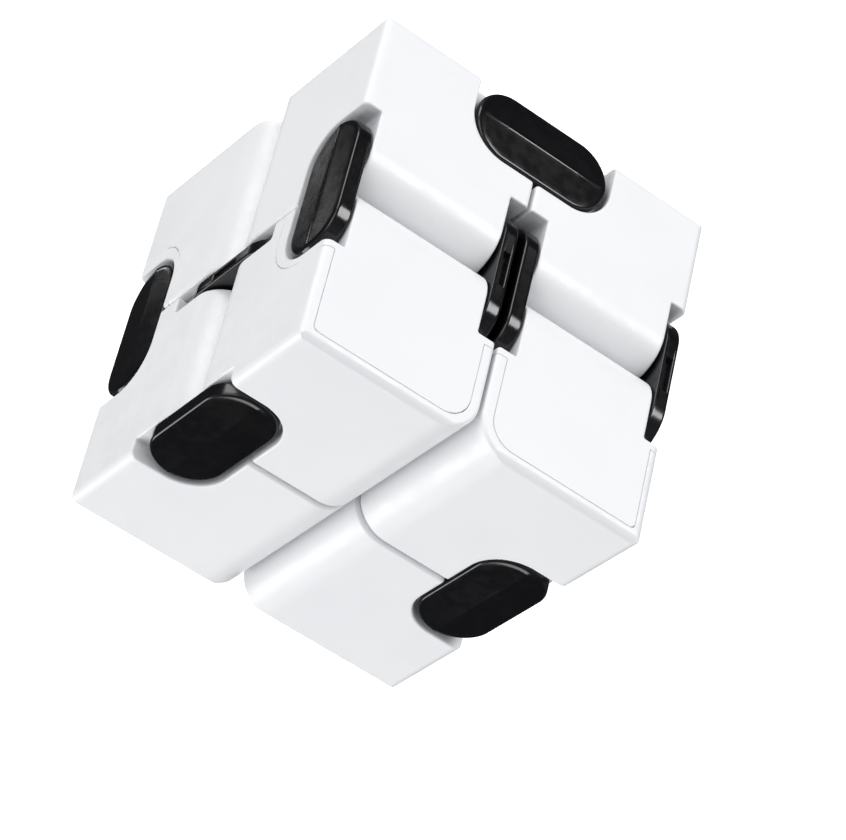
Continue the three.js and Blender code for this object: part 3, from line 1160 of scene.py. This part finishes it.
@dataclass
class LinkPlates:
    """The round-ended plates of every hinge."""

    sizes: CubeSizes
    finish: bpy.types.Material
    ridge: float = 0.2
    crease: float = 0.016
    crease_reach: float = 0.16
    rim_round: float = 0.3
    back_round: float = 0.15
    notch_length: float = 4.0
    notch_width: float = 0.8
    notch_depth: float = 0.7
    notch_lip: float = 0.06
    notch_draft: float = 0.006
    arc_steps: int = 40
    round_steps: int = 6
    crease_rows: int = 5
    face_rows: int = 8
    side_places: int = 7
    sharp_degrees: float = 40.0
    merge_reach: float = 1e-6

    def profile(self) -> tuple[np.ndarray, np.ndarray]:
        """The plate's half section without its ridge: distance from the centreline, and height.

        It runs flat to the rim, turns a quarter circle, drops straight down the side and turns again to
        the flat back. The side has three rows for each long edge of the notch.

        Returns:
            The distances and the heights.
        """
        radius, thick = self.sizes.roll_radius, self.sizes.plate_thickness
        turn = np.linspace(0.0, math.pi / 2, self.round_steps + 1)
        top = np.linspace(0.0, self.crease_reach, self.crease_rows)
        slope = np.linspace(self.crease_reach, radius - self.rim_round, self.face_rows)
        flat = np.concatenate([top[:-1], slope])
        edge = self.notch_edge(self.notch_width / 2)
        rows = -thick / 2 + np.concatenate([edge, -edge[::-1]])
        distance = [
            flat[:-1],
            radius - self.rim_round * (1.0 - np.sin(turn)),
            np.full(len(rows), radius),
            radius - self.back_round * (1.0 - np.cos(turn)),
            np.array([radius / 2, 0.0]),
        ]
        height = [
            np.zeros(len(flat) - 1),
            -self.rim_round * (1.0 - np.cos(turn)),
            rows,
            -thick + self.back_round * (1.0 - np.sin(turn)),
            np.full(2, -thick),
        ]
        return np.concatenate(distance), np.concatenate(height)

    def path(self) -> tuple[np.ndarray, np.ndarray]:
        """The way round the plate: the nearest place on its centreline, and the outward direction.

        Two half circles about the pivots are joined by straight sides. The side that lies outwards has
        three places for each end of the notch.

        Returns:
            The places along u, and the directions in (u, v).
        """
        reach = self.sizes.pivot_u
        right = np.linspace(-math.pi / 2, math.pi / 2, self.arc_steps + 1)
        left = right + math.pi
        edge = self.notch_edge(self.notch_length / 2)
        outer = np.concatenate([edge, -edge[::-1]])
        lower = np.linspace(-reach, reach, self.side_places)[1:-1]
        u = np.concatenate([np.full(len(right), reach), outer, np.full(len(left), -reach), lower])
        angle = np.concatenate(
            [right, np.full(len(outer), math.pi / 2), left, np.full(len(lower), 1.5 * math.pi)]
        )
        return u, np.stack([np.cos(angle), np.sin(angle)], axis=1)

    def swell(self, beside: np.ndarray, distance: np.ndarray) -> np.ndarray:
        """How far the face stands over its rim: a long roof with a fine crease along its ridge.

        The roof falls in a straight line with the distance beside the ridge, the crease is a cosine
        wave, and both fade in a straight line over the rim's round.

        Args:
            beside: distance from the line through both pivots.
            distance: distance from the plate's centreline.

        Returns:
            The height, zero outside the rim.
        """
        inner = self.sizes.roll_radius - self.rim_round
        roof = self.ridge * (1.0 - np.minimum(beside / inner, 1.0))
        wave = (1.0 + np.cos(math.pi * np.minimum(beside / self.crease_reach, 1.0))) / 2
        fade = np.clip((self.sizes.roll_radius - distance) / self.rim_round, 0.0, 1.0)
        return (roof + self.crease * wave) * fade

    def notch_edge(self, half: float) -> np.ndarray:
        """Returns the rows across one edge of the notch: its lip, its mouth and the foot of its wall."""
        return half + np.array([self.notch_lip, 0.0, -self.notch_draft])

    def pocket(self, offset: np.ndarray, half: float) -> np.ndarray:
        """How deep the notch may be: its full depth inside, its lip at its mouth, and nothing beyond.

        Args:
            offset: distances from the notch's middle, either way.
            half: half the notch's length or width.

        Returns:
            The depths.
        """
        away = np.abs(offset)
        mouth = np.where(away < half + self.notch_lip / 2, self.notch_lip, 0.0)
        return np.where(away < half - self.notch_draft / 2, self.notch_depth, mouth)

    def surface(self, axis: Axis, outer: bool, notched: bool) -> Surface:
        """One plate in octant coordinates: its profile carried round its path.

        Args:
            axis: the hinge's axis.
            outer: True for the plate on the outside face, False for the one in the middle of the cube.
            notched: True for the plate with the pocket in its side.

        Returns:
            The surface. Its two centreline rows are still to be joined up, and its outward directions
            are left at zero, because its mesh works out its own.
        """
        s = self.sizes
        distance, height = self.profile()
        u, direction = self.path()
        reach = np.tile(distance, (len(u), 1))
        if notched:
            on_side = np.isclose(direction[:, 1:], 1.0)
            along = self.pocket(u, self.notch_length / 2)[:, None]
            across = self.pocket(height + s.plate_thickness / 2, self.notch_width / 2)
            reach -= np.where(on_side, np.minimum(along, across), 0.0)
        swell = self.swell(np.abs(direction[:, 1:] * distance), distance)
        height = height + np.where(height > -self.rim_round, swell, 0.0)
        face, towards = (s.high - s.plate_drop, 1.0) if outer else (s.low + s.plate_drop, -1.0)
        place = np.empty((*reach.shape, 3))
        u_place, v_place = axis.uv()
        place[:, :, u_place] = u[:, None] + direction[:, :1] * reach
        place[:, :, v_place] = s.pivot_v + direction[:, 1:] * reach
        place[:, :, axis.value] = face + towards * height
        places, rows = reach.shape
        first = np.arange(places)[:, None] * rows + np.arange(rows - 1)[None, :]
        second = (first + rows) % (places * rows)
        quads = np.stack([first, second, second + 1, first + 1], axis=2).reshape(-1, 4)
        if outer:
            quads = quads[:, ::-1]
        return Surface(place.reshape(-1, 3), quads, np.zeros((place.size // 3, 3)))

    def build(self) -> None:
        """Makes and dresses the outer and inner plate of every hinge."""
        for hinge in HINGES:
            on_plus_side = hinge.octant[hinge.axis.value] > 0
            for outer, part in ((True, "outer"), (False, "inner")):
                plate = self.surface(hinge.axis, outer, notched=outer == on_plus_side)
                placed = mirrored(plate, hinge.octant, self.sizes.centre_z)
                node = f"{hinge.place}_hinge_{part}_plate"
                piece = self.closed_object(f"{node}_moulding", placed)
                piece.data.materials.append(self.finish)
                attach(piece, hinge.body)
                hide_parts(node)
                LOG.info("%s: %d faces on %s", piece.name, len(piece.data.polygons), hinge.body)

    def closed_object(self, name: str, surface: Surface) -> bpy.types.Object:
        """Puts a plate into a new object and joins up its centreline.

        Args:
            name: the object's name.
            surface: the plate's surface.

        Returns:
            The object, closed, smooth over its rounds and sharp at its notch.
        """
        mesh = bpy.data.meshes.new(name)
        mesh.from_pydata((surface.points * MM).tolist(), [], surface.quads.tolist())
        work = bmesh.new()
        work.from_mesh(mesh)
        bmesh.ops.remove_doubles(work, verts=work.verts, dist=self.merge_reach)
        bmesh.ops.dissolve_degenerate(work, edges=work.edges, dist=self.merge_reach / 10)
        bmesh.ops.recalc_face_normals(work, faces=work.faces)
        work.to_mesh(mesh)
        work.free()
        normals = np.empty(3 * len(mesh.vertices), np.float32)
        mesh.vertex_normals.foreach_get("vector", normals)
        keep_values(mesh, {"edge": turned(normals.reshape(-1, 3))})
        mesh.set_sharp_from_angle(angle=math.radians(self.sharp_degrees))
        return new_object(name, mesh)


def dress_pins(finish: bpy.types.Material) -> None:
    """Gives every pin, which keeps its own mesh, its finish.

    Args:
        finish: the pins' material.
    """
    for name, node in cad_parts.items():
        if name.endswith("_pin"):
            node.data.materials.clear()
            node.data.materials.append(finish)
            LOG.info("%s: dressed", name)


# ---- Stage --------------------------------------------------------------------------------------


@dataclass(frozen=True)
class SoftBox:
    """A square soft light: its power, side, place and the place that it looks at, in metres."""

    name: str
    power: float
    side: float
    place: Place
    aim: Place

    def build(self) -> None:
        """Adds the light."""
        data = bpy.data.lights.new(self.name, "AREA")
        data.energy, data.size = self.power, self.side
        lamp = new_object(self.name, data)
        lamp.location = self.place
        way = Vector(self.aim) - Vector(self.place)
        lamp.rotation_euler = way.to_track_quat("-Z", "Y").to_euler()


@dataclass(frozen=True)
class Stage:
    """The camera, the lights and the floor. Places are in metres from the middle of the cube."""

    middle: Place
    eye: Place = (-0.13285, -0.21995, 0.25588)
    aim: Place = (0.00527, -0.00388, -0.00043)
    roll_degrees: float = 56.18
    lens: float = 157.1
    sensor: float = 36.0
    floor_drop: float = 0.085
    floor_side: float = 6.0
    soft_boxes: dict[str, tuple[float, float, Place]] = field(
        default_factory=lambda: {
            "top_soft_box": (1.95, 0.24, (0.2, 0.16, 0.58)),
            "left_soft_box": (1.0, 0.4, (-0.52, -0.05, 0.3)),
            "front_soft_box": (1.5, 0.35, (0.1, -0.58, -0.22)),
            "rim_soft_box": (1.1, 0.3, (-0.42, 0.36, 0.2)),
            "under_soft_box": (1.4, 0.3, (-0.29, -0.31, -0.42)),
            "back_strip": (0.006, 0.03, (0.222, 0.41, 0.414)),
            "low_strip": (0.018, 0.035, (-0.217, 0.383, -0.402)),
        }
    )
    sky: Colour = (0.96, 0.98, 1.0)
    sky_strength: float = 0.5
    mirrored_sky: float = 0.03

    def about(self, offset: Place) -> Place:
        """Returns the place at this offset from the middle of the cube."""
        return tuple(a + b for a, b in zip(self.middle, offset))

    def build(self, floor_finish: bpy.types.Material) -> None:
        """Adds the camera, the lights and the floor.

        Args:
            floor_finish: the floor's material.
        """
        self.build_camera()
        self.build_sky()
        for name, (power, side, offset) in self.soft_boxes.items():
            SoftBox(name, power, side, self.about(offset), self.middle).build()
        self.build_floor(floor_finish)

    def build_camera(self) -> None:
        """Adds the camera: it looks from eye to aim and is then rolled about its own axis."""
        data = bpy.data.cameras.new("camera")
        data.lens, data.sensor_width, data.sensor_fit = self.lens, self.sensor, "HORIZONTAL"
        camera = new_object("camera", data)
        way = Vector(self.aim) - Vector(self.eye)
        turn = way.to_track_quat("-Z", "Y").to_matrix().to_4x4()
        roll = Matrix.Rotation(math.radians(self.roll_degrees), 4, "Z")
        camera.matrix_world = Matrix.Translation(self.about(self.eye)) @ turn @ roll
        bpy.context.scene.camera = camera

    def build_sky(self) -> None:
        """Adds an even pale sky, which the camera sees plainly and the cube's gloss shows dimly."""
        world = bpy.data.worlds.new("soft_sky")
        world.use_nodes = True
        nodes = NodeTree(world.node_tree)
        rays = nodes.add("LightPath").outputs
        dimmed = self.mirrored_sky - self.sky_strength
        shining = nodes.math("MULTIPLY_ADD", rays["Is Glossy Ray"], dimmed, self.sky_strength)
        strength = nodes.math("MAXIMUM", shining, rays["Is Camera Ray"])
        background = world.node_tree.nodes["Background"]
        nodes.feed(background, Color=paint(self.sky), Strength=strength)
        bpy.context.scene.world = world
        bpy.context.scene.view_settings.view_transform = "Standard"

    def build_floor(self, finish: bpy.types.Material) -> None:
        """Adds a flat floor, low enough to leave room for the flap that folds under.

        Args:
            finish: the floor's material.
        """
        half = self.floor_side / 2
        corners = np.array([(-1, -1), (1, -1), (1, 1), (-1, 1)], float) * half
        mesh = bpy.data.meshes.new("floor")
        height = self.middle[2] - self.floor_drop
        mesh.from_pydata([(x, y, height) for x, y in corners.tolist()], [], [(0, 1, 2, 3)])
        mesh.materials.append(finish)
        floor = new_object("floor", mesh)
        floor.visible_diffuse = False
        floor.visible_glossy = False
        floor.visible_shadow = False
        floor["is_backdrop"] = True


def main() -> None:
    """Builds the cube's looks in order."""
    logging.basicConfig(level=logging.INFO, format="%(name)s %(message)s")
    cad_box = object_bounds()
    sizes = measure_cube()
    LOG.info("sizes: %s", sizes)
    middle = tuple((a + b) / 2 for a, b in zip(*cad_box))
    Stage(middle).build(PaleBackdrop().make())
    skin, wear_and_sheen = moulded_skin_group(), wear_sheen_shade_group()
    CubieSet(sizes, WHITE_SHELL.make(skin, wear_and_sheen)).build()
    LinkPlates(sizes, BLACK_LINK.make(skin, wear_and_sheen)).build()
    dress_pins(DrawnSteel().make())


if __name__ == "__main__":
    main()
